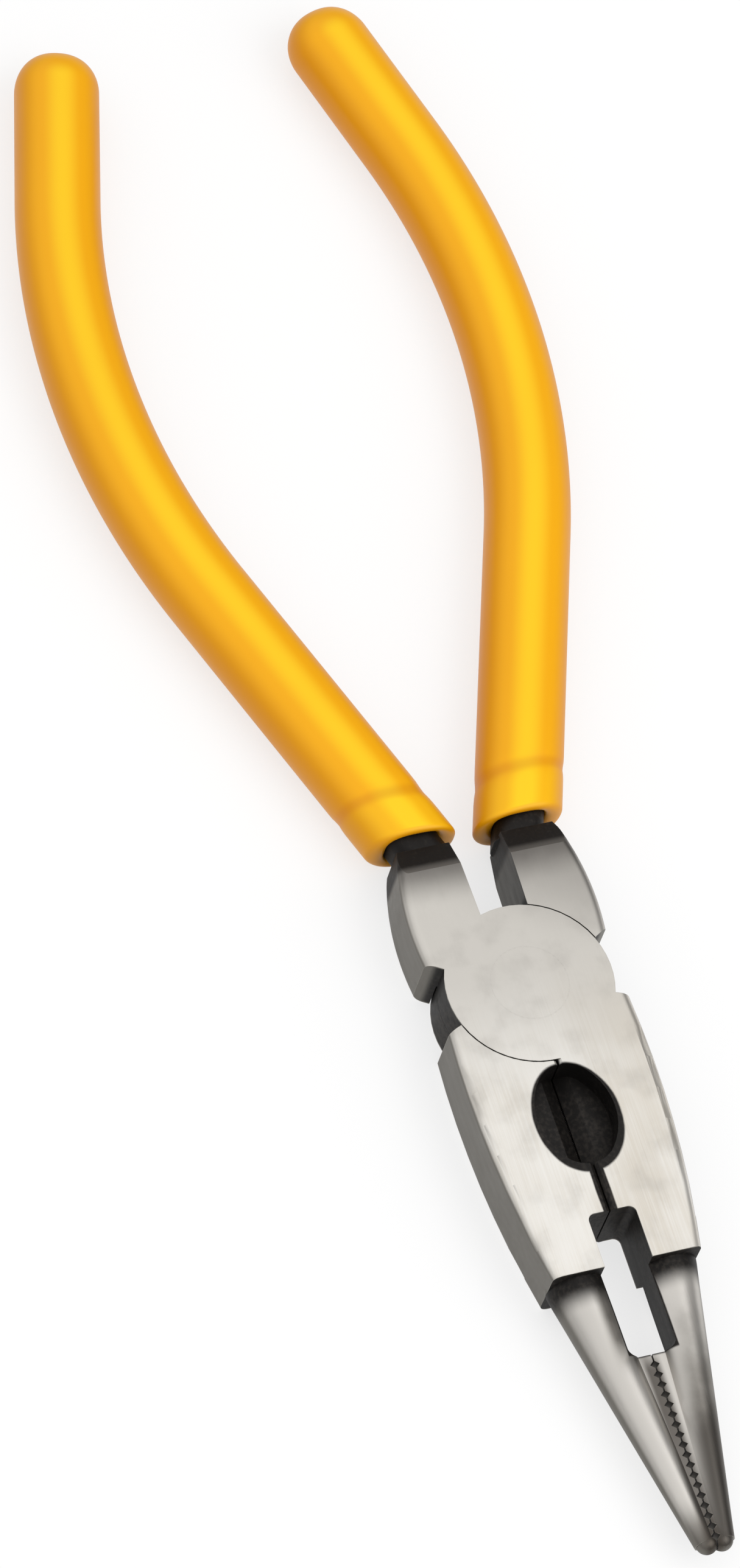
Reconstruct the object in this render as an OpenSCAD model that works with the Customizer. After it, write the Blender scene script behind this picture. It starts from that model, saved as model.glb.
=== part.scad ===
// Long nose pliers with a lap joint, a cutter pocket, a crimping slot and a toothed half-round nose.
// Two equal forged halves turn on one flush rivet, and each handle carries a dipped plastic grip.
// The pliers lie flat and closed: the nose points to +X and the pivot is the Z axis.
// The lower face of the head is Z = 0.

/* [Head] */
// Thickness of the head across both halves
head_t = 9.4; // [9:0.1:12]
// Largest half width of the head over the jaws
jaw_half_w = 11.8; // [11.2:0.1:13]
// Distance from the pivot to the widest place of the jaws
jaw_bulge_x = 12.5; // [10:0.5:18]
// Radius of the long curve along a jaw's outer side
jaw_side_r = 128; // [110:1:160]
// Radius that softens the long outer edges of the head
edge_r = 1.2; // [0.3:0.1:1.5]
// Clearance between the closed jaws
jaw_gap = 0.2; // [0.1:0.05:0.4]
// Depth of the small chamfer along the jaw line on both faces
line_chamfer = 0.45; // [0.2:0.05:0.8]

/* [Lap joint] */
// Radius of the round boss of each half
boss_r = 10.4; // [9.8:0.1:10.6]
// Radial clearance between a boss and the round seat in the other half
boss_clear = 0.15; // [0.08:0.01:0.3]
// Clearance between the two lapped faces
lap_clear = 0.06; // [0.02:0.01:0.12]
// Angle of a jaw's shoulder, from the nose around the pivot
jaw_shoulder_a = 70; // [66:1:74]
// Angle of a handle's shoulder, from the nose around the pivot
tang_shoulder_a = 118; // [116:1:124]

/* [Rivet] */
// Diameter of the rivet's shank
rivet_d = 7; // [5:0.1:8]
// Diameter of the rivet's countersunk ends
rivet_head_d = 9.6; // [8.6:0.1:11]
// Depth of each countersink
rivet_head_h = 1.3; // [0.8:0.1:2]
// Radial running clearance of the rivet in the half that turns on it
rivet_clear = 0.05; // [0.02:0.01:0.1]

/* [Cutter pocket] */
// Distance from the pivot to the near end of the oval pocket
pocket_x = 11.1; // [11:0.1:13]
// Length of the pocket along the jaws
pocket_l = 13.2; // [12:0.1:14]
// Width of the pocket across both jaws
pocket_w = 9.8; // [9:0.1:11]
// Radius of the pocket's two ends
pocket_end_r = 3.9; // [3.6:0.1:4.2]
// Thickness of the knife web left between the two pocket floors
knife_t = 2.6; // [1.6:0.1:4]
// Thickness of the cutting edge itself
knife_edge_t = 0.3; // [0.1:0.05:0.6]
// Width of each knife's bevel
knife_bevel = 1.7; // [0.8:0.1:2.4]

/* [Crimping slot] */
// Distance from the pivot to the near end of the slot
slot_x = 30.6; // [28:0.1:33]
// Length of the slot
slot_l = 17.4; // [14:0.1:20]
// Width of the slot with the jaws closed
slot_w = 6; // [4.4:0.1:7]
// Radius in the slot's corners
slot_corner_r = 0.9; // [0.3:0.1:2]

/* [Nose] */
// Distance from the pivot to the step where the flat head ends
step_x = 37.4; // [34:0.1:40]
// Distance from the pivot to the tip
tip_x = 73; // [68:0.5:78]
// Radius of a nose bar at the step
nose_root_r = 3.6; // [3.4:0.05:4.2]
// Distance of a nose bar's axis from the jaw line at the step
nose_root_y = 5.8; // [5.2:0.05:6]
// Radius of a nose bar at the tip
nose_tip_r = 1.35; // [1.2:0.05:1.8]
// Distance of a nose bar's axis from the jaw line at the tip
nose_tip_y = 0.95; // [0.8:0.05:1.2]
// Height of the flat toothed face along the jaw line
land_t = 2.4; // [2:0.1:2.6]
// Distance between neighbouring teeth
tooth_pitch = 1.3; // [1:0.05:2]
// Depth of the grooves between the teeth
tooth_depth = 0.5; // [0.2:0.05:0.7]

/* [Handles] */
// Largest half width of the head over the tangs
tang_half_w = 11.9; // [11.2:0.1:12.5]
// Distance from the pivot back to the widest place of the tangs
tang_bulge_x = 9.5; // [8:0.5:12]
// Radius of the curve along a tang's outer side
tang_side_r = 35; // [30:1:45]
// Half distance between the tangs at the crotch
crotch_y = 2.8; // [2:0.1:4]
// How much further apart the tangs stand where the handles begin, on each side
crotch_flare = 0.5; // [0:0.1:1]
// Distance from the pivot back to where the ground face starts to fall away
tang_fall_x = 17.2; // [15:0.1:18]
// Length over which the tang thins down to the handle core
tang_fall_l = 3.6; // [2:0.1:4]
// Distance from the pivot back to the root of the handle's centre line
root_x = 19.5; // [18.5:0.1:20]
// Distance of that root from the middle line
root_y = 5.65; // [5:0.05:6.5]
// Angle at which each handle leaves the middle line
handle_a = 20; // [14:0.5:24]
// Length of the straight stretch next to the head
straight_l = 44.7; // [30:0.1:60]
// Radius of the bow
bow_r = 95; // [70:1:140]
// Angle through which the bow turns
bow_a = 36; // [24:0.5:44]
// Length of the straight stretch at the end, to the middle of the round end
end_l = 16.3; // [8:0.1:24]
// Width of the steel core inside a grip
core_w = 6; // [5:0.1:7]
// Thickness of the steel core inside a grip
core_t = 6.6; // [5.8:0.1:7]
// Radius of the core's corners
core_corner_r = 2.2; // [0.5:0.1:2.2]
// Distance of the core's end from the middle of the grip's round end
core_end = 3; // [1:0.1:6]

/* [Grips] */
// Width of a grip across the handle
grip_w = 10.8; // [9.6:0.1:12]
// Thickness of a grip
grip_t = 9.3; // [8.8:0.1:9.4]
// Radius of the grip's rounded sides
grip_corner_r = 4.3; // [3:0.1:4.3]
// Distance from the pivot back to the dip line, where a grip begins
dip_x = 22.5; // [22:0.1:26]

/* [Hidden] */
$fn = 96;

steel = [0.78, 0.77, 0.73];
bright = [0.84, 0.83, 0.8];
yellow = [0.98, 0.71, 0.13];

mid_z = head_t / 2;
seat_r = boss_r + boss_clear;
pocket_depth = (head_t - knife_t) / 2;
// Reach of the cutting tools past the surfaces that they cut
past = 1;
// Step from a straight stretch of a handle to the fuller bow or end that it runs into
run_step = 0.04;
// Reach of the straight stretches into the bow
run_over = 0.5;
// Reach of outlines past everything that they bound
wide = 3 * boss_r;

nose_l = tip_x - step_x;
nose_lean = atan2(nose_tip_y - nose_root_y, nose_l);
nose_cone = atan2(nose_root_r - nose_tip_r, nose_l);
// The tip's sphere is tangent to the cone, and its far side reaches the tip
tip_sphere_r = nose_tip_r / cos(nose_cone);
tip_centre_x = tip_x - tip_sphere_r;
bar_l = (tip_centre_x - step_x) / cos(nose_lean) + tip_sphere_r * sin(nose_cone);
tooth_start_x = slot_x + slot_l + tooth_pitch;
tooth_n = floor((tip_centre_x - tooth_start_x) / tooth_pitch);

// Headings of the handle's centre line, before and after the bow
head_out = 180 - handle_a;
head_in = head_out + bow_a;
root = [-root_x, root_y];
bow_start = root + straight_l * heading(head_out);
bow_centre = bow_start + bow_r * heading(head_out + 90);
bow_end = bow_centre + bow_r * heading(head_in - 90);
handle_end = bow_end + end_l * heading(head_in);

function heading(a) = [cos(a), sin(a)];

// A disc whose two rims are rounded
module soft_disc(r, t, e) {
    rotate_extrude() {
        square([r - e, t]);
        translate([0, e]) square([r, t - 2 * e]);
        translate([r - e, e]) circle(e);
        translate([r - e, t - e]) circle(e);
    }
}

// A rectangle of length l from the origin along X and width w, with round corners
module round_slot(l, w, r) {
    translate([r, -w / 2]) square([l - 2 * r, w]);
    translate([0, r - w / 2]) square([l, w - 2 * r]);
    for (x = [r, l - r], y = [r - w / 2, w / 2 - r]) translate([x, y]) circle(r);
}

// An oval of length l from the origin along X and width w.
// Two end arcs of radius r run smoothly into two wider side arcs.
module oval(l, w, r) {
    end_x = l / 2 - r;
    spare = w / 2 - r;
    drop = (end_x * end_x - spare * spare) / (2 * spare);
    side_r = drop + w / 2;
    meet_x = end_x * side_r / (side_r - r);
    translate([l / 2, 0]) {
        intersection() {
            translate([0, -drop]) circle(side_r);
            translate([0, drop]) circle(side_r);
            translate([-meet_x, -w]) square([2 * meet_x, 2 * w]);
        }
        for (x = [-end_x, end_x]) translate([x, 0]) circle(r);
    }
}

// A section of width w and thickness t with corners of radius r, for the core and the grip
module soft_section(w, t, r) {
    translate([-w / 2, 0]) round_slot(w, t, r);
}

// Carries a section a length l forward from a point of the plane, along a heading
module straight_run(from, a, l) {
    translate([from.x, from.y, mid_z]) rotate([0, 0, a]) rotate([90, 0, 90])
        linear_extrude(l) children();
}

// Carries a soft section along the handle, from the root to a distance before the round end.
// The bow is a hair fuller than the straight stretches, which reach into it.
module along_handle(w, t, r, stop) {
    straight_run(root, head_out, straight_l + run_over) soft_section(w, t, r);
    translate([bow_centre.x, bow_centre.y, mid_z]) rotate([0, 0, head_out - 90])
        rotate_extrude(angle = bow_a) translate([bow_r, 0])
            soft_section(w + 2 * run_step, t + 2 * run_step, r);
    straight_run(bow_end - run_over * heading(head_in), head_in, end_l - stop + run_over)
        soft_section(w, t, r);
}

// The flat part of one jaw, from its shoulder to the step
module jaw_plate() {
    intersection() {
        translate([jaw_bulge_x, jaw_half_w - jaw_side_r, 0]) soft_disc(jaw_side_r, head_t, edge_r);
        linear_extrude(head_t) polygon([
            [0, jaw_gap / 2],
            [step_x, jaw_gap / 2],
            [step_x, wide],
            wide / sin(jaw_shoulder_a) * heading(jaw_shoulder_a)
        ]);
    }
}

// One nose bar: a cone that leans in to the jaw line, with a round tip and a flat land along the line
module nose_bar() {
    intersection() {
        union() {
            translate([step_x, nose_root_y, mid_z]) rotate([0, 0, nose_lean]) {
                rotate([0, 90, 0]) cylinder(h = bar_l, r1 = nose_root_r, r2 = nose_tip_r);
                translate([-past, 0, 0]) rotate([0, 90, 0]) cylinder(h = past, r = nose_root_r);
            }
            translate([tip_centre_x, nose_tip_y, mid_z]) sphere(tip_sphere_r);
            translate([0, 0, mid_z - land_t / 2]) linear_extrude(land_t) polygon([
                [step_x - past, 0],
                [tip_centre_x, 0],
                [tip_centre_x, nose_tip_y],
                [step_x - past, nose_root_y]
            ]);
        }
        translate([step_x - past, jaw_gap / 2, 0]) cube([nose_l + 2 * past, wide, head_t]);
    }
}

// The grooves between the teeth of one jaw
module tooth_grooves() {
    for (i = [0 : tooth_n]) translate([tooth_start_x + i * tooth_pitch, jaw_gap / 2, -past])
        linear_extrude(head_t + 2 * past) polygon([
            [-tooth_pitch / 2, -tooth_depth / 2],
            [tooth_pitch / 2, -tooth_depth / 2],
            [0, tooth_depth]
        ]);
}

// The oval pocket on one face, with the bevel that leaves the knife's edge at the middle of the thickness
module cutter_pocket() {
    bevel_z = (knife_t - knife_edge_t) / 2;
    translate([pocket_x, 0, mid_z]) {
        translate([0, 0, knife_t / 2]) linear_extrude(pocket_depth + past)
            oval(pocket_l, pocket_w, pocket_end_r);
        intersection() {
            linear_extrude(knife_t) oval(pocket_l, pocket_w, pocket_end_r);
            rotate([90, 0, 90]) linear_extrude(pocket_l) polygon([
                [-knife_bevel, knife_t / 2],
                [0, knife_t / 2 - bevel_z],
                [knife_bevel, knife_t / 2]
            ]);
        }
    }
}

// The small chamfer along the jaw line of one face, between the boss and the slot
module line_groove() {
    translate([0, 0, head_t]) rotate([90, 0, 90]) linear_extrude(slot_x + past) polygon([
        [-line_chamfer - jaw_gap / 2 - past, past],
        [0, -line_chamfer],
        [line_chamfer + jaw_gap / 2 + past, past]
    ]);
}

// Repeats a cut of the upper face on the lower face
module both_faces() {
    children();
    translate([0, 0, head_t]) rotate([180, 0, 0]) children();
}

// The jaw of one half on the +Y side, full thickness
module jaw() {
    difference() {
        union() {
            jaw_plate();
            nose_bar();
        }
        translate([slot_x, 0, -past]) linear_extrude(head_t + 2 * past)
            round_slot(slot_l, slot_w, slot_corner_r);
        tooth_grooves();
        both_faces() cutter_pocket();
        both_faces() line_groove();
    }
}

// The tang between the joint and the handle on the +Y side, thinning down to the core
module tang() {
    fall_end = tang_fall_x + tang_fall_l;
    thin = (head_t - core_t) / 2;
    intersection() {
        translate([-tang_bulge_x, tang_half_w - tang_side_r, 0]) soft_disc(tang_side_r, head_t, edge_r);
        linear_extrude(head_t) polygon([
            [0, crotch_y],
            wide / sin(tang_shoulder_a) * heading(tang_shoulder_a),
            [-fall_end, wide],
            [-fall_end, crotch_y + crotch_flare]
        ]);
        translate([0, wide, 0]) rotate([90, 0, 0]) linear_extrude(wide) polygon([
            [0, 0],
            [0, head_t],
            [-tang_fall_x, head_t],
            [-fall_end, head_t - thin],
            [-fall_end, thin],
            [-tang_fall_x, 0]
        ]);
    }
}

// The steel core of one handle on the +Y side
module core() {
    along_handle(core_w, core_t, core_corner_r, core_end);
}

// The rivet's outline turned about the pivot, larger by a clearance
module rivet_form(extra) {
    shank_r = rivet_d / 2 + extra;
    head_r = rivet_head_d / 2 + extra;
    rotate_extrude() polygon([
        [0, 0],
        [head_r, 0],
        [shank_r, rivet_head_h],
        [shank_r, head_t - rivet_head_h],
        [head_r, head_t],
        [0, head_t]
    ]);
}

// One forged half: its boss is the upper layer, its jaw lies at +Y and its handle at -Y
module half(rivet_extra) {
    lap_z = mid_z + lap_clear / 2;
    difference() {
        union() {
            difference() {
                union() {
                    jaw();
                    mirror([0, 1, 0]) tang();
                    mirror([0, 1, 0]) core();
                }
                translate([0, 0, -past]) cylinder(h = lap_z + past, r = seat_r);
            }
            translate([0, 0, lap_z]) cylinder(h = head_t - lap_z, r = boss_r);
        }
        rivet_form(rivet_extra);
    }
}

// One grip on the +Y side: a closed sleeve with a round end, and a mouth that is square to the pliers
module grip() {
    difference() {
        union() {
            along_handle(grip_w, grip_t, grip_corner_r, 0);
            translate([handle_end.x, handle_end.y, mid_z]) rotate_extrude() intersection() {
                soft_section(grip_w + 2 * run_step, grip_t + 2 * run_step, grip_corner_r);
                translate([0, -head_t]) square(2 * head_t);
            }
        }
        core();
        translate([-dip_x, -wide, -past]) cube([wide, 2 * wide, head_t + 2 * past]);
    }
}

module front_half() {
    color(steel) half(0);
}

module rear_half() {
    color(steel) translate([0, 0, head_t]) rotate([180, 0, 0]) half(rivet_clear);
}

module pivot_rivet() {
    color(bright) rivet_form(0);
}

module left_grip() {
    color(yellow) mirror([0, 1, 0]) grip();
}

module right_grip() {
    color(yellow) grip();
}

front_half();
rear_half();
pivot_rivet();
left_grip();
right_grip();
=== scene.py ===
# %% [markdown]
# # Long nose pliers
# Two forged steel halves turn on a flush rivet, and each handle wears a sleeve of dipped yellow plastic.
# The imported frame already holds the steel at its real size, so this lesson dresses it: ground and blackened
# finishes for the steel, and two modelled sleeves in place of the plain grip solids.

# %% Load the frame
import math
from types import SimpleNamespace

import bpy
import numpy as np
from mathutils import Matrix, Vector


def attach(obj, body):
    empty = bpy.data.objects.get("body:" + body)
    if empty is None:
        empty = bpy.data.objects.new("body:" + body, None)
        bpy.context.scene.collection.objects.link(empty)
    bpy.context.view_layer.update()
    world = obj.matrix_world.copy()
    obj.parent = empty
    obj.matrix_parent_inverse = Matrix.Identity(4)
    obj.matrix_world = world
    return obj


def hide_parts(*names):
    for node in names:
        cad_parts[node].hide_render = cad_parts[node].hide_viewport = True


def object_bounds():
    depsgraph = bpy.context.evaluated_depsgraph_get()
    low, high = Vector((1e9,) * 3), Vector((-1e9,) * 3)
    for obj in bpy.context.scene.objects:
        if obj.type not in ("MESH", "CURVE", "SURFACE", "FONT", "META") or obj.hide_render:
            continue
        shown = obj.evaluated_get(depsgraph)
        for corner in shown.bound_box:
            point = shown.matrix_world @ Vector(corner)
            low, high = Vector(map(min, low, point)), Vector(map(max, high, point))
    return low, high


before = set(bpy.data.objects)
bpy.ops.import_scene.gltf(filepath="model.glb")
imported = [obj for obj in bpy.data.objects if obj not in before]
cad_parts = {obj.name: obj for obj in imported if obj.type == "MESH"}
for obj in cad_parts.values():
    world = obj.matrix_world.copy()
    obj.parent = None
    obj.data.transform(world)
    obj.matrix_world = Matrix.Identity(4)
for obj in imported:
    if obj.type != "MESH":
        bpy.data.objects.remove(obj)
cad_low, cad_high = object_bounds()
scene = bpy.context.scene
scene.view_settings.view_transform = "Standard"
MM = 0.001
print("nodes:", sorted(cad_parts))
print("box in mm:", [round(v / MM, 2) for v in (*cad_low, *cad_high)])

# %% [markdown]
# ## Where the camera stands
# The pliers lie flat, and the photograph looks down on them from beyond the tip and a little from the left.
# The camera could be pushed about by hand until the outlines agree, but three angles and a distance say
# where it is in a way that can be read again. The lens follows from how many pixels of the picture one
# metre covers at the pivot, and aiming at the middle of the picture saves a shift of the lens.

# %% Camera
PICTURE_HEIGHT = 2576
SENSOR_HEIGHT = 36.0
TILT = math.radians(30.23)
AZIMUTH = math.radians(55.11)
ROLL = math.radians(-15.17)
DISTANCE = 0.833
PIXELS_PER_METRE = 13725.0
PIVOT_RIGHT_OF_MIDDLE = 18.25 * MM
PIVOT_BELOW_MIDDLE = 25.85 * MM
head_middle = cad_high.z / 2
pivot = Vector((0, 0, head_middle))


def camera_axes(tilt, azimuth, roll):
    """The camera's right, up and back directions. From straight overhead it leans by tilt about a level
    line that points to azimuth, and then it rolls about its own line of sight."""
    sine, cosine = math.sin(tilt), math.cos(tilt)
    back = Vector((sine * math.sin(azimuth), -sine * math.cos(azimuth), cosine))
    hinge = Vector((math.cos(azimuth), math.sin(azimuth), 0))
    leaned = Matrix.Rotation(tilt, 3, hinge)
    rolled = Matrix.Rotation(roll, 3, back)
    right = rolled @ leaned @ Vector((0, 1, 0))
    return right, back.cross(right), back


right, up, back = camera_axes(TILT, AZIMUTH, ROLL)
aim = pivot - right * PIVOT_RIGHT_OF_MIDDLE + up * PIVOT_BELOW_MIDDLE
lens = bpy.data.cameras.new("camera")
lens.sensor_fit = "VERTICAL"
lens.sensor_height = SENSOR_HEIGHT
lens.lens = PIXELS_PER_METRE * DISTANCE * SENSOR_HEIGHT / PICTURE_HEIGHT
lens.clip_start = 10 * MM
camera = bpy.data.objects.new("camera", lens)
scene.collection.objects.link(camera)
turned = Matrix((right, up, back)).transposed()
camera.matrix_world = Matrix.Translation(aim + back * DISTANCE) @ turned.to_4x4()
scene.camera = camera
stands_at = [round(v, 3) for v in camera.matrix_world.translation]
print("camera at", stands_at, "lens", round(lens.lens, 1), "mm")

# %% [markdown]
# ## Shader maths
# A finish could be wired node by node, but it is easier to read as an expression than as a list of links.
# `Wire` wraps one output socket: its operators add Math nodes, and `node` adds any other kind of node.


# %% Wires
class Wire:
    """One value inside a material. Arithmetic on wires adds Math nodes, and node() adds any other node."""

    def __init__(self, tree, socket=None):
        self.tree = tree
        self.socket = socket

    def node(self, kind, settings=(), sockets=(), out=0):
        """A new node: its settings first, then a value or a wire for each named or numbered socket."""
        made = self.tree.nodes.new(kind)
        for name, value in dict(settings).items():
            setattr(made, name, value)
        for key, value in dict(sockets).items():
            if isinstance(value, Wire):
                self.tree.links.new(value.socket, made.inputs[key])
            else:
                made.inputs[key].default_value = value
        return Wire(self.tree, made.outputs[out])

    def maths(self, operation, *values):
        return self.node("ShaderNodeMath", {"operation": operation}, enumerate((self, *values)))

    def __add__(self, other):
        return self.maths("ADD", other)

    __radd__ = __add__

    def __mul__(self, other):
        return self.maths("MULTIPLY", other)

    __rmul__ = __mul__

    def __sub__(self, other):
        return self.maths("SUBTRACT", other)

    def __rsub__(self, other):
        return (self * -1.0) + other

    def __abs__(self):
        return self.maths("ABSOLUTE")

    def root(self):
        return self.maths("SQRT")

    def at_least(self, other):
        return self.maths("MAXIMUM", other)

    def at_most(self, other):
        return self.maths("MINIMUM", other)

    def rise(self, low, high):
        """0 below low, 1 above high and a smooth step between them; low may be the larger one."""
        sockets = {"Value": self, "From Min": low, "From Max": high}
        return self.node("ShaderNodeMapRange", {"interpolation_type": "SMOOTHSTEP"}, sockets)

    def noise(self, scale, detail):
        """A soft noise over this place, with about scale waves to the metre."""
        return self.node("ShaderNodeTexNoise", (), {"Vector": self, "Scale": scale, "Detail": detail})

    def parts(self):
        """The X, Y and Z of a vector."""
        split = self.node("ShaderNodeSeparateXYZ", (), {0: self}).socket.node
        return [Wire(self.tree, socket) for socket in split.outputs]

    def mix(self, first, second):
        """The colour that goes from first to second as this wire goes from 0 to 1."""
        return self.node("ShaderNodeMix", {"data_type": "RGBA"}, {0: self, 6: first, 7: second}, out=2)


print("shader maths ready")

# %% [markdown]
# ## A fresh finish
# Every finish here starts as one Principled shader, which can be steel, plastic or a matt floor. Colours
# are written as they look on a screen, because that is how one compares them with a photograph, and turned
# into the linear values that nodes work with.


# %% Fresh finish
def new_finish(name):
    """A material with one Principled shader: the material, a bare wire and the shader's input sockets."""
    material = bpy.data.materials.new(name)
    material.use_nodes = True
    tree = material.node_tree
    shader = next(n for n in tree.nodes if n.type == "BSDF_PRINCIPLED")
    return material, Wire(tree), shader.inputs


def feed(socket, wire):
    """Links a wire to one of the shader's sockets."""
    wire.tree.links.new(wire.socket, socket)


def rgb(red, green, blue):
    """A screen colour, from 0 to 255, as a linear one: a straight line in the darkest tones, and above them
    a power of 2.4."""
    share = np.array([red, green, blue]) / 255
    linear = np.where(share <= 0.04045, share / 12.92, ((share + 0.055) / 1.055) ** 2.4)
    return (*(float(v) for v in linear), 1.0)


print("mid grey is", round(rgb(128, 128, 128)[0], 3), "in linear light")

# %% [markdown]
# ## What the steel's masks read
# The flat faces of such pliers are ground bright on a belt, the sides are darker, partly as a forged skin and
# partly as painted shade, and the recesses stay black from the heat treatment. Each could be a material of
# its own, but they fade into each other, so one material holds them all, and the place and the slope of the
# surface say which finish it has. Object coordinates are in metres, so the masks use the steel's own
# measures. Four noises, from clouds to grain, keep the finishes from looking painted.

# %% Places on the steel
CLOUDS, SMEARS, GRAINS = 60.0, 230.0, 1900.0
GRINDING = (90.0, 5200.0, 900.0)
TANG_X = -17.2 * MM


def steel_places(wire):
    """The place, its distance from the long axis, from the pivot and from the middle of the thickness, how
    level the surface is, whether it is a tang, and the noises. Grinding lines are noise drawn out along x."""
    place = wire.node("ShaderNodeTexCoord", out="Object")
    x, y, z = place.parts()
    _, ny, nz = wire.node("ShaderNodeTexCoord", out="Normal").parts()
    drawn_out = wire.node("ShaderNodeMapping", (), {"Vector": place, "Scale": GRINDING})
    return SimpleNamespace(
        x=x,
        y=y,
        ny=ny,
        side=abs(y),
        radius=(x * x + y * y).root(),
        off_middle=abs(z - head_middle),
        flat=abs(nz).rise(0.25, 0.7),
        tang=x.rise(TANG_X, TANG_X - 1.2 * MM),
        cloud=place.noise(CLOUDS, 3.0),
        lines=drawn_out.noise(1.0, 4.0),
        smear=place.noise(SMEARS, 5.0),
        grain=place.noise(GRAINS, 2.0),
    )


print("waves to the metre:", CLOUDS, SMEARS, GRAINS)

# %% [markdown]
# ## Black skin and painted shadow
# Heat treatment leaves steel black, and the belt can't reach into the recesses to grind that off: the
# cutter pocket, the crimping slot and the joint under the boss. The corner where the nose begins is black as
# a painted shadow of the head's step. The rim of the pocket, the jaw line and the tangs are black as well. A
# painted mask would need an image, so these are boxes, a disc and an oval worked out from the place, each
# with a soft border.

# %% Black skin and painted shadow
STEP_X = 37.4 * MM
POCKET_NEAR_X, POCKET_HALF_W = 10.9 * MM, 4.8 * MM
SLOT_NEAR_X, SLOT_FAR_X, SLOT_HALF_W = 30.6 * MM, 48.0 * MM, 3.0 * MM
BOSS_R = 10.4 * MM
RIM_X, RIM_HALF_L, RIM_HALF_W = 18.2 * MM, 7.2 * MM, 5.4 * MM


def recesses(at):
    """1 inside the pocket, the slot and the joint, 1 in the corner of the nose as painted shadow, and 0 on
    the outer faces.
    """
    x, side = at.x, at.side
    pocket = side.rise(POCKET_HALF_W + 0.3 * MM, POCKET_HALF_W + 0.1 * MM)
    pocket = pocket * x.rise(0, POCKET_NEAR_X) * x.rise(STEP_X + 0.2 * MM, STEP_X)
    slot = side.rise(SLOT_HALF_W + 0.25 * MM, SLOT_HALF_W + 0.1 * MM)
    slot = slot * x.rise(0, STEP_X) * x.rise(SLOT_FAR_X + 0.3 * MM, SLOT_FAR_X)
    # Painted shadow: the nose's root just past the step is darkened as if shaded by the head.
    corner = x.rise(STEP_X - 0.05 * MM, STEP_X) * x.rise(STEP_X + 4.2 * MM, STEP_X + 1.2 * MM)
    joint = at.radius.rise(BOSS_R + 1.6 * MM, BOSS_R + 0.6 * MM)
    outer = at.off_middle.rise(head_middle - 0.35 * MM, head_middle - 0.1 * MM)
    return pocket.at_least(slot).at_least(joint).at_least(corner) * (1 - outer)


def black_areas(at):
    """1 where the steel is black: the recesses, with the painted shadow in the nose's corner, the tangs, an
    oval around the pocket whose border wanders a little, and a band along the jaw line from the pocket to the
    slot."""
    x, smear = at.x, at.smear
    rim_x, rim_y = (x - RIM_X) * (1 / RIM_HALF_L), at.y * (1 / RIM_HALF_W)
    rim = ((rim_x * rim_x + rim_y * rim_y).root() + smear * 0.06).rise(1.06, 1.01)
    jaw_line = (at.side + smear * 0.2 * MM).rise(1.1 * MM, 0.9 * MM)
    jaw_line = jaw_line * x.rise(RIM_X, RIM_X + 1 * MM) * x.rise(SLOT_NEAR_X + 0.4 * MM, SLOT_NEAR_X)
    return recesses(at).at_least(at.tang).at_least(rim).at_least(jaw_line)


print("black oval in mm:", round(2 * RIM_HALF_L / MM, 1), "x", round(2 * RIM_HALF_W / MM, 1))

# %% [markdown]
# ## Ground faces
# Belt grinding leaves a bright, slightly warm face. It is duller over the boss and towards the handles,
# smeared by use, and tinted by heat where it runs into the black tangs. The right jaw beside the pocket gets
# a painted shade. One flat grey would look like paint, so each of these is a mask that lays one more tone
# over the last.

# %% Ground faces
GROUND = rgb(240, 237, 231)
GROUND_WARM = rgb(218, 211, 199)
GROUND_BOSS = rgb(210, 206, 199)
GROUND_DULL = rgb(172, 168, 162)
HEAT_TINT = rgb(84, 80, 76)


def ground_face(at):
    """The ground colour: warm in clouds, with painted shade beside the pocket on the right jaw, then boss,
    handles, smears and heat.
    """
    x, y, smear = at.x, at.y, at.smear
    wander = at.cloud * 6 * MM
    # Painted shade: the right jaw beside the pocket is pushed towards the darker warm tone.
    beside_pocket = y.rise(0, 5 * MM) * x.rise(30 * MM, 22 * MM)
    warm = (at.cloud + at.lines * 0.3 + beside_pocket * 0.25).rise(0.6, 1.0)
    boss = (x + wander).rise(22 * MM, -2 * MM)
    handles = (x - y * 0.6 + wander).rise(-4 * MM, -18 * MM)
    smeared = smear.rise(0.45, 0.75) * 0.3
    heat = (x + smear * 2 * MM).rise(TANG_X + 6 * MM, TANG_X + 0.5 * MM) * 0.75
    colour = warm.mix(GROUND, GROUND_WARM)
    layers = (boss, GROUND_BOSS), (handles, GROUND_DULL), (smeared, GROUND_DULL), (heat, HEAT_TINT)
    for mask, tone in layers:
        colour = mask.mix(colour, tone)
    return colour


print("ground steel in linear light:", [round(v, 2) for v in GROUND[:3]])

# %% [markdown]
# ## Nose bars
# The half-round bars of the nose are finished less brightly than the head. They are darker towards the tip,
# the right bar gets painted shade along its outer side, and the left bar gets painted shade beside the slot.
# The bars lean in towards the tip, so the painted shade follows a line that leans with them.

# %% Nose bars
NOSE = rgb(206, 202, 196)
NOSE_DARK = rgb(110, 106, 100)
# The next colour is the painted shade on the right bar's outer side.
OUTER_BAR_SHADE = rgb(70, 66, 62)
TIP_X = cad_high.x
NOSE_ROOT_Y, NOSE_LEAN = 5.8 * MM, 0.136


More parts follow.
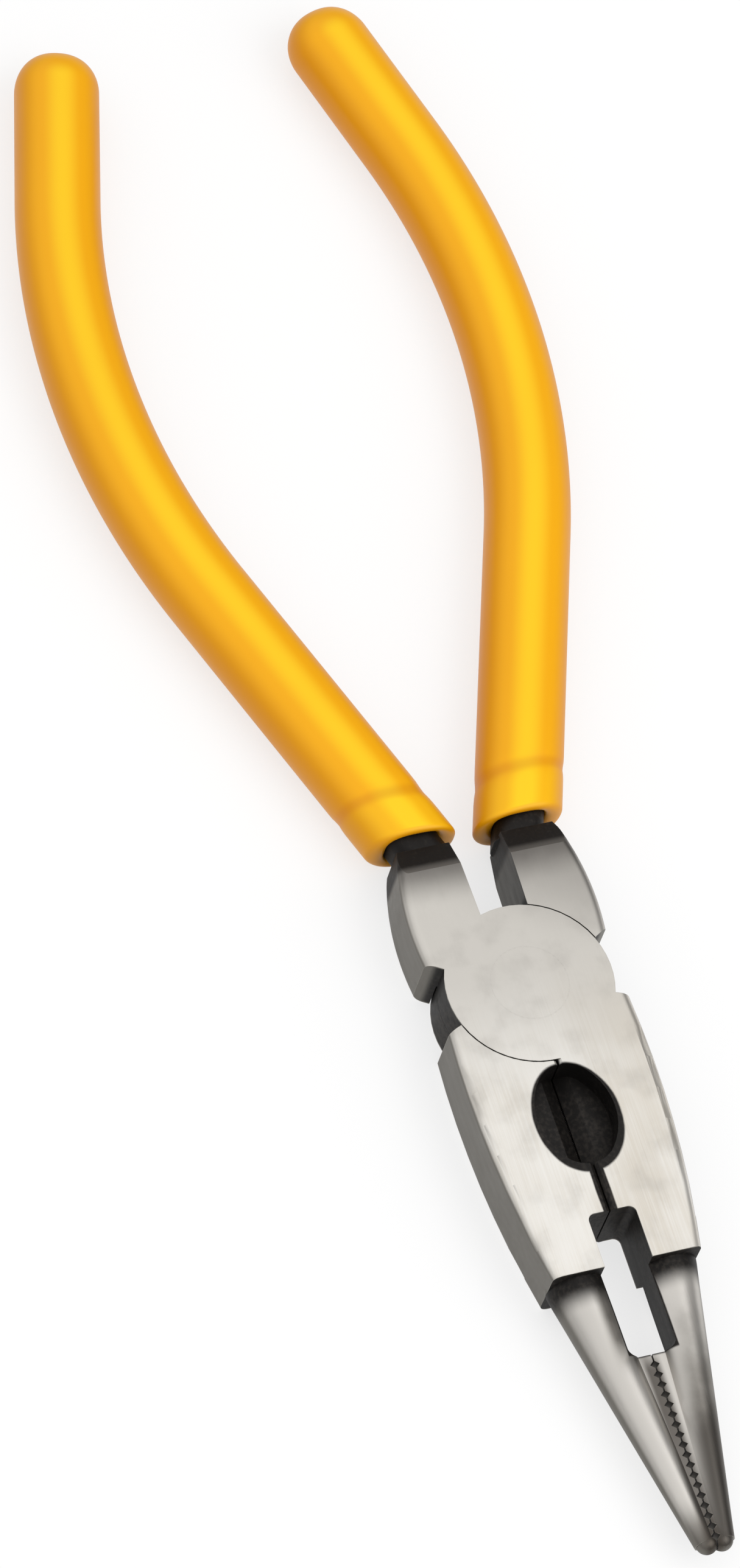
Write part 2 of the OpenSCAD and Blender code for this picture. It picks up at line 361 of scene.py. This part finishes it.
def nose_bars(at):
    """The colour of the bars. The right one's middle line starts at NOSE_ROOT_Y and leans by NOSE_LEAN."""
    x, y, smear = at.x, at.y, at.smear
    tip = (x + at.cloud * 6 * MM).rise(TIP_X - 4 * MM, TIP_X + 2 * MM)
    middle_line = NOSE_ROOT_Y - (x - STEP_X) * NOSE_LEAN
    outer_right = (y - middle_line).rise(-2.4 * MM, 0)
    # Painted shade: the right bar darkens along its outer side, deeper towards the tip.
    outer_shade = outer_right * (x + smear * 12 * MM).rise(45 * MM, 63 * MM) * 0.9
    deep_outer_shade = outer_right * (x + smear * 6 * MM).rise(56 * MM, 63 * MM) * 0.75
    # Painted shade: a dark band on the left bar beside the slot.
    scale = y.rise(-SLOT_HALF_W - 2.4 * MM, -SLOT_HALF_W - 0.9 * MM) * y.rise(0, -1 * MM)
    scale = scale * x.rise(SLOT_FAR_X + 3 * MM, SLOT_FAR_X - 3 * MM) * 0.9
    colour = tip.at_least(outer_shade).at_least(scale).mix(NOSE, NOSE_DARK)
    return deep_outer_shade.mix(colour, OUTER_BAR_SHADE)


print("nose from", round(STEP_X / MM, 1), "to", round(TIP_X / MM, 1), "mm")

# %% [markdown]
# ## Rubbed edges
# Handling rubs the sharp edges of forged steel bare. They could be drawn by hand, edge by edge, but a Bevel
# node finds them all: where its rounded normal turns away from the true one, there is an edge. The clouds
# break the bare line up, because no hand rubs evenly. The rivet is ground flush, so its edge stays out.

# %% Rubbed edges
EDGE_R = 0.3 * MM
FLUSH_R = 5.4 * MM


def rubbed_edge(wire, at):
    """1 along sharp edges, where a rounded normal turns away from the true one, and 0 on plain faces and
    inside FLUSH_R."""
    rounded = wire.node("ShaderNodeBevel", {"samples": 6}, {"Radius": EDGE_R})
    true = wire.node("ShaderNodeNewGeometry", out="Normal")
    sockets = {0: rounded, 1: true}
    agree = wire.node("ShaderNodeVectorMath", {"operation": "DOT_PRODUCT"}, sockets, out="Value")
    return agree.rise(0.93, 0.75) * at.cloud.rise(0.3, 0.6) * at.radius.rise(FLUSH_R, FLUSH_R + 0.6 * MM)


print("edges are rubbed", round(EDGE_R / MM, 1), "mm wide")

# %% [markdown]
# ## Steel put together
# The masks now choose between the ground faces, the darker flanks, which are partly painted shade, and the
# black: skin in the recesses, painted shade in the crotch and the valley of the teeth, and a painted shadow
# in the nose's corner. Separate materials would need a border between them, while masks fade, and one
# material for both halves and the rivet lets the finish run on across the joint. The grinding lines and the
# grain also go into a faint bump.

# %% Steel finish
# FLANK, the colour of the sides, is partly their forged skin and partly painted shade.
FLANK = rgb(116, 113, 107)
BARE_EDGE = rgb(190, 186, 178)
BLACKED = rgb(20, 17, 15)
BLACKED_WORN = rgb(70, 64, 58)


def steel_colour(at, edge, black):
    """Flank or ground face by slope, painted shade on the crotch walls, bare edges, painted shade in the
    valley along the teeth, and black over them all.
    """
    x, y, cloud = at.x, at.y, at.cloud
    ground = x.rise(STEP_X, STEP_X + 0.2 * MM).mix(ground_face(at), nose_bars(at))
    # Painted shade: the tang walls facing each other across the crotch turn towards black.
    crotch = (y * at.ny).rise(-0.5 * MM, -2 * MM) * x.rise(-8 * MM, -10 * MM) * 0.6
    skin = at.flat.mix(crotch.mix(FLANK, BLACKED), ground)
    skin = (edge * 0.8).mix(skin, BARE_EDGE)
    # Painted shade: the valley between the jaws along the teeth is darkened.
    teeth = abs(y + 0.4 * MM).rise(1.5 * MM, 0.5 * MM) * x.rise(SLOT_FAR_X - 1 * MM, SLOT_FAR_X + 2 * MM)
    skin = (teeth * (0.6 + cloud * 0.4)).mix(skin, BLACKED_WORN)
    blacked = ((at.grain * cloud).rise(0.2, 0.45) * 0.4).mix(BLACKED, BLACKED_WORN)
    blacked = (edge * at.tang * 0.5).mix(blacked, FLANK)
    return black.mix(skin, blacked)


def steel_finish(name):
    """Ground steel on the flat faces, a duller nose, darker flanks, partly skin and partly painted shade, and
    blackened recesses.
    """
    material, wire, shader = new_finish(name)
    at = steel_places(wire)
    black = black_areas(at)
    feed(shader["Base Color"], steel_colour(at, rubbed_edge(wire, at), black))
    feed(shader["Metallic"], 1 - black * 0.45)
    dullness = at.lines * 0.16 + at.smear * 0.1 + (1 - at.flat) * 0.08 + black * 0.1
    feed(shader["Roughness"], 0.28 + dullness)
    relief = at.lines * 0.35 * at.flat + at.grain * (0.15 + black)
    bump = {"Height": relief, "Strength": 0.12, "Distance": 0.05 * MM}
    feed(shader["Normal"], wire.node("ShaderNodeBump", (), bump))
    return material


steel = steel_finish("forged_steel")
for name in ("front_half", "rear_half", "pivot_rivet"):
    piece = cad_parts[name]
    piece.data.materials.clear()
    piece.data.materials.append(steel)
print("steel on the halves and the rivet, with", len(steel.node_tree.nodes), "nodes")

# %% [markdown]
# ## Handle line
# Each handle runs out straight from the head, bows inwards at a steady rate and ends straight. A curve
# object could follow it, but a straight line and an arc have exact formulas, so numpy works out every point
# and heading at once.

# %% Handle line
ROOT = np.array([-19.5, 5.65]) * MM
STRAIGHT_L = 44.7 * MM
BOW_R = 95.0 * MM
BOW_TURN = math.radians(36.0)
END_L = 16.3 * MM
HEAD_OUT = math.radians(180.0 - 20.0)
HANDLE_L = STRAIGHT_L + BOW_R * BOW_TURN + END_L


def handle_line(along):
    """Points and headings at the distances along a handle: a straight stretch, a bow that turns at a steady
    rate, and a straight stretch again. Each coordinate is the integral of the heading's cosine or sine."""
    heading = HEAD_OUT + np.clip((along - STRAIGHT_L) / BOW_R, 0, BOW_TURN)
    first = np.minimum(along, STRAIGHT_L)
    last = np.maximum(along - STRAIGHT_L - BOW_R * BOW_TURN, 0)
    bow_x = BOW_R * (np.sin(heading) - math.sin(HEAD_OUT))
    bow_y = -BOW_R * (np.cos(heading) - math.cos(HEAD_OUT))
    x = ROOT[0] + first * math.cos(HEAD_OUT) + bow_x + last * np.cos(heading)
    y = ROOT[1] + first * math.sin(HEAD_OUT) + bow_y + last * np.sin(heading)
    return x, y, heading


print("handle line is", round(HANDLE_L / MM, 1), "mm long")

# %% [markdown]
# ## Outline of a grip
# A dipped grip is a sleeve of soft plastic that closed around the handle as it cooled: a rounded lip at the
# mouth, a shallow crease behind it, a round end. A subdivided cube could be pushed into that shape, but an
# outline that starts inside at the core's end, turns round the lip and ends at the tip makes the whole
# sleeve one closed surface.

# %% Sleeve outline
DIP_X = -22.5 * MM
MOUTH = (ROOT[0] - DIP_X) / -math.cos(HEAD_OUT)
LIP_R = 0.8 * MM
CAP_L = 5.3 * MM
CAP_POWER = 0.8
CORE_STOP = HANDLE_L - 2.6 * MM
INNER_ROWS, LIP_ROWS, BODY_ROWS, CAP_ROWS = 60, 13, 150, 23


def sleeve_outline():
    """Three values for each row: the distance along the handle, the share of the way from the core's section
    to the grip's, and how far the section shrinks. The lip is half a circle, and the end a dome whose section
    follows a power of the cosine. The first and the last row are points."""
    inner = np.linspace(CORE_STOP, MOUTH + LIP_R, INNER_ROWS)
    lip = np.linspace(0, math.pi, LIP_ROWS + 2)[1:-1]
    body = np.linspace(MOUTH + LIP_R, HANDLE_L, BODY_ROWS)
    cap = np.linspace(0, math.pi / 2, CAP_ROWS + 1)[1:]
    lip_along = MOUTH + LIP_R - LIP_R * np.sin(lip)
    along = np.concatenate([[CORE_STOP], inner, lip_along, body, HANDLE_L + CAP_L * np.sin(cap)])
    lip_outward = (1 - np.cos(lip)) / 2
    outward = np.concatenate([np.zeros(1 + INNER_ROWS), lip_outward, np.ones(BODY_ROWS + CAP_ROWS)])
    shrink = np.concatenate([[0], np.ones(INNER_ROWS + LIP_ROWS + BODY_ROWS), np.cos(cap) ** CAP_POWER])
    return along, outward, shrink


print("sleeve outline has", len(sleeve_outline()[0]), "rows, mouth at", round(MOUTH / MM, 2), "mm")

# %% [markdown]
# ## Sections carried along the handle
# A section across the grip is a rounded oval outside and a rounded box on the steel inside. A superellipse
# is both, by its power. The dip line is square to the pliers, not to the handle, as when closed pliers hang
# straight into the tank, so the sections lean near the mouth and stand square further on.

# %% Sleeve surface
GRIP_HALF_W, GRIP_HALF_T, GRIP_POWER = 5.4 * MM, 4.65 * MM, 2.2
CORE_HALF_W, CORE_HALF_T, CORE_POWER = 3.04 * MM, 3.34 * MM, 3.0
CREASE_AT, CREASE_DEPTH, CREASE_L = 6.5 * MM, 0.14 * MM, 0.9 * MM
LEANS_TO, SQUARE_FROM = 4 * MM, 16 * MM
AROUND = 72


def smooth(value, low, high):
    """0 below low, 1 above high and a smooth step between them."""
    share = np.clip((value - low) / (high - low), 0, 1)
    return share * share * (3 - 2 * share)


def sleeve_section(around, outward, half_w, half_t):
    """A superellipse: a point goes out in its direction until the powers of its shares add up to one."""
    power = CORE_POWER + (GRIP_POWER - CORE_POWER) * outward
    c, s = np.cos(around), np.sin(around)
    reach = (np.abs(c) ** power + np.abs(s) ** power) ** (-1 / power)
    return half_w * c * reach, half_t * s * reach


def sleeve_points(side):
    """A grid of points, a row for each step of the outline and a column for each direction around it, and
    each row's distance from the mouth. side is 1 for the right handle and -1 for the left."""
    along, outward, shrink = (v[:, None] for v in sleeve_outline())
    around = np.linspace(0, 2 * math.pi, AROUND, endpoint=False)[None, :]
    crease = CREASE_DEPTH * np.exp(-(((along - MOUTH - CREASE_AT) / CREASE_L) ** 2))
    half_w = CORE_HALF_W + outward * (GRIP_HALF_W - crease - CORE_HALF_W)
    half_t = CORE_HALF_T + outward * (GRIP_HALF_T - crease - CORE_HALF_T)
    across, height = sleeve_section(around, outward, half_w * shrink, half_t * shrink)
    lean = 1 - smooth(along, MOUTH + LEANS_TO, MOUTH + SQUARE_FROM)
    x, y, heading = handle_line(along + across * math.tan(HEAD_OUT) * lean)
    out_x, out_y = x - across * np.sin(heading), side * (y + across * np.cos(heading))
    return np.stack([out_x, out_y, head_middle + height], axis=-1), along[:, 0] - MOUTH


print("sleeve grid:", sleeve_points(1)[0].shape[:2])

# %% [markdown]
# ## From a grid to a mesh
# The columns of the grid wrap around, and its first and last rows shrink to one point each. Merging doubles
# would close them too, but here the faces are numbered so that the two ends are fans around a single point,
# and the mesh is closed from the start. A mirrored sleeve would be inside out, so its faces are numbered
# the other way round.


# %% Sleeves
def closed_faces(rows, columns):
    """Quads between the rows of a grid whose columns wrap around, and a fan of triangles at each end."""
    column = np.arange(columns)
    after = (column + 1) % columns
    row = 1 + columns * np.arange(rows - 3)[:, None]
    corners = [row + column, row + after, row + columns + after, row + columns + column]
    quads = np.stack(corners, axis=-1).reshape(-1, 4)
    edge = 1 + columns * (rows - 3)
    last = edge + columns
    first_fan = np.stack([0 * column, 1 + after, 1 + column], axis=-1)
    last_fan = np.stack([edge + column, edge + after, 0 * column + last], axis=-1)
    return quads, np.vstack([first_fan, last_fan])


def grip_sleeve(name, side):
    """The sleeve on one handle, with each point's distance from the mouth kept for its finish."""
    grid, from_mouth = sleeve_points(side)
    rows, columns = grid.shape[:2]
    points = np.vstack([grid[0, :1], grid[1:-1].reshape(-1, 3), grid[-1, :1]])
    quads, fans = closed_faces(rows, columns)
    if side < 0:
        quads, fans = quads[:, ::-1], fans[:, ::-1]
    mesh = bpy.data.meshes.new(name)
    mesh.from_pydata(points.tolist(), [], quads.tolist() + fans.tolist())
    mesh.polygons.foreach_set("use_smooth", np.ones(len(mesh.polygons), bool))
    repeats = [1] + [columns] * (rows - 2) + [1]
    distance = mesh.attributes.new("from_mouth", "FLOAT", "POINT")
    distance.data.foreach_set("value", np.repeat(from_mouth, repeats))
    mesh.update()
    piece = bpy.data.objects.new(name, mesh)
    scene.collection.objects.link(piece)
    return piece


left_sleeve = grip_sleeve("left_sleeve", -1)
right_sleeve = grip_sleeve("right_sleeve", 1)
print("sleeve faces:", len(left_sleeve.data.polygons), "each")

# %% [markdown]
# ## Dipped plastic
# Soft plastic is glossy and lets a little light in, but no scattering is rendered: the slope of the surface
# mixes the tones instead, as a lemon painted highlight on top and below and amber painted shade on the sides.
# The grip is also paler near the mouth. A faint orange peel and painted shade in the crease finish it.

# %% Dipped plastic
# LEMON is the colour of the painted highlight, AMBER of the painted shade on the sides and CREASE of the
# painted shade in the crease.
YELLOW = rgb(245, 174, 4)
LEMON = rgb(254, 208, 20)
AMBER = rgb(208, 129, 4)
CREASE = rgb(205, 120, 4)
DRIFTS, PEELS = 45.0, 420.0


def dipped_finish(name):
    """Glossy soft plastic: a painted highlight above and below, paler at the mouth, painted shade on the
    sides and in the crease.
    """
    material, wire, shader = new_finish(name)
    place = wire.node("ShaderNodeTexCoord", out="Object")
    nz = wire.node("ShaderNodeTexCoord", out="Normal").parts()[2]
    along = wire.node("ShaderNodeAttribute", {"attribute_name": "from_mouth"}, out="Fac")
    cloud, peel = place.noise(DRIFTS, 3.0), place.noise(PEELS, 2.0)
    sideways = (1 - nz * nz).at_least(0.0).root()
    # Painted shade: amber on the sides, with a little random tone from the clouds.
    side_shade_and_tone = sideways.rise(0.4, 1.0) * 0.65 + cloud * 0.15
    # Painted highlight: lemon on top and below, and paler near the mouth.
    top_highlight_and_pale_mouth = sideways.rise(0.36, 0.0) * 0.85 + along.rise(7 * MM, 4 * MM) * 0.3
    # Painted shade: a darker line along the crease.
    crease = 1 - abs(along - (CREASE_AT + cloud * 2 * MM - 1 * MM)).rise(0.1 * MM, 1.3 * MM)
    yellow = side_shade_and_tone.mix(top_highlight_and_pale_mouth.mix(YELLOW, LEMON), AMBER)
    feed(shader["Base Color"], (crease * 0.35).mix(yellow, CREASE))
    feed(shader["Roughness"], 0.3 + cloud * 0.14)
    bump = {"Height": peel + cloud * 2.0, "Strength": 0.1, "Distance": 0.1 * MM}
    feed(shader["Normal"], wire.node("ShaderNodeBump", (), bump))
    shader["Specular IOR Level"].default_value = 0.25
    return material


plastic = dipped_finish("dipped_plastic")
rides = (left_sleeve, "left_grip", "front_half"), (right_sleeve, "right_grip", "rear_half")
for sleeve, node, body in rides:
    sleeve.data.materials.append(plastic)
    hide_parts(node)
    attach(sleeve, body)
print("sleeves ride on their halves")

# %% [markdown]
# ## Floor
# The photograph's background is white. More light would bleach the pliers with it, so the floor looks lit
# by itself to the eye and to mirrors, and is plain matt white to everything else. It keeps a light shadow
# near the pliers, is all white far away, and doesn't shine right under the cutter, where a bright line
# would show between the knives.

# %% Floor
FLOOR_HALF = 5.0
FLOOR_DROP = 0.05 * MM
PALE = (0.95, 0.95, 0.95, 1)
CUTTER_X = 17.7 * MM
NEAR_GLOW = 0.7


def pale_finish(name):
    """A matt white mixed with a white glow, by the kind of ray and the distance from the cutter."""
    material, wire, shader = new_finish(name)
    shader["Base Color"].default_value = PALE
    shader["Roughness"].default_value = 0.9
    rays = ("Is Camera Ray", "Is Glossy Ray", "Is Transmission Ray")
    camera_ray, glossy_ray, transmission_ray = (wire.node("ShaderNodeLightPath", out=ray) for ray in rays)
    seen = (camera_ray + glossy_ray + transmission_ray).at_most(1.0)
    x, y, _ = wire.node("ShaderNodeTexCoord", out="Object").parts()
    from_cutter = ((x - CUTTER_X) * (x - CUTTER_X) + y * y).root()
    glow = from_cutter.rise(8 * MM, 11 * MM) * (NEAR_GLOW + from_cutter.rise(0.3, 1.2) * (1 - NEAR_GLOW))
    white = wire.node("ShaderNodeEmission", (), {"Strength": 1.0})
    lit = Wire(wire.tree, wire.tree.nodes["Principled BSDF"].outputs[0])
    mixed = wire.node("ShaderNodeMixShader", (), {0: seen * glow, 1: lit, 2: white})
    feed(wire.tree.nodes["Material Output"].inputs["Surface"], mixed)
    return material


corner = FLOOR_HALF * np.array([[-1, -1], [1, -1], [1, 1], [-1, 1]])
floor_points = np.column_stack([corner, np.full(4, cad_low.z - FLOOR_DROP)])
floor_mesh = bpy.data.meshes.new("floor")
floor_mesh.from_pydata(floor_points.tolist(), [], [[0, 1, 2, 3]])
floor_mesh.materials.append(pale_finish("floor"))
piece = bpy.data.objects.new("floor", floor_mesh)
scene.collection.objects.link(piece)
print("floor", 2 * FLOOR_HALF, "m wide")

# %% [markdown]
# ## Light
# One soft lamp, high on the tip's side and to the right, models the grips. Steel shows what it mirrors, so
# most of its look comes from the surround: bright above and to the left, which the ground faces mirror, and
# darker towards the horizon and the right, which draws a line along the round bars. Several lamps could do
# that, but a smooth surround has no borders.

# %% Lamp and surround
KEY_FROM = Vector((0.45, 0.53, 0.72)).normalized()
KEY_DISTANCE = KEY_SIZE = 1.2
KEY_POWER = 7.5
DIM, WHITE = (0.22, 0.22, 0.22, 1), (1, 1, 1, 1)

key = bpy.data.lights.new("key", "AREA")
key.size = KEY_SIZE
key.energy = KEY_POWER
lamp = bpy.data.objects.new("key", key)
scene.collection.objects.link(lamp)
facing = KEY_FROM.to_track_quat("Z", "Y").to_matrix().to_4x4()
lamp.matrix_world = Matrix.Translation(pivot + KEY_FROM * KEY_DISTANCE) @ facing

world = bpy.data.worlds.new("surround")
world.use_nodes = True
sky = Wire(world.node_tree)
_, towards_right, height = sky.node("ShaderNodeTexCoord", out="Generated").parts()
bright = (height * 0.8 - towards_right * 0.6).rise(0.0, 0.42) * height.rise(-0.1, 0.6)
feed(world.node_tree.nodes["Background"].inputs["Color"], bright.mix(DIM, WHITE))
scene.world = world
print("lamp of", KEY_POWER, "W and a surround from", DIM[0], "to", WHITE[0])
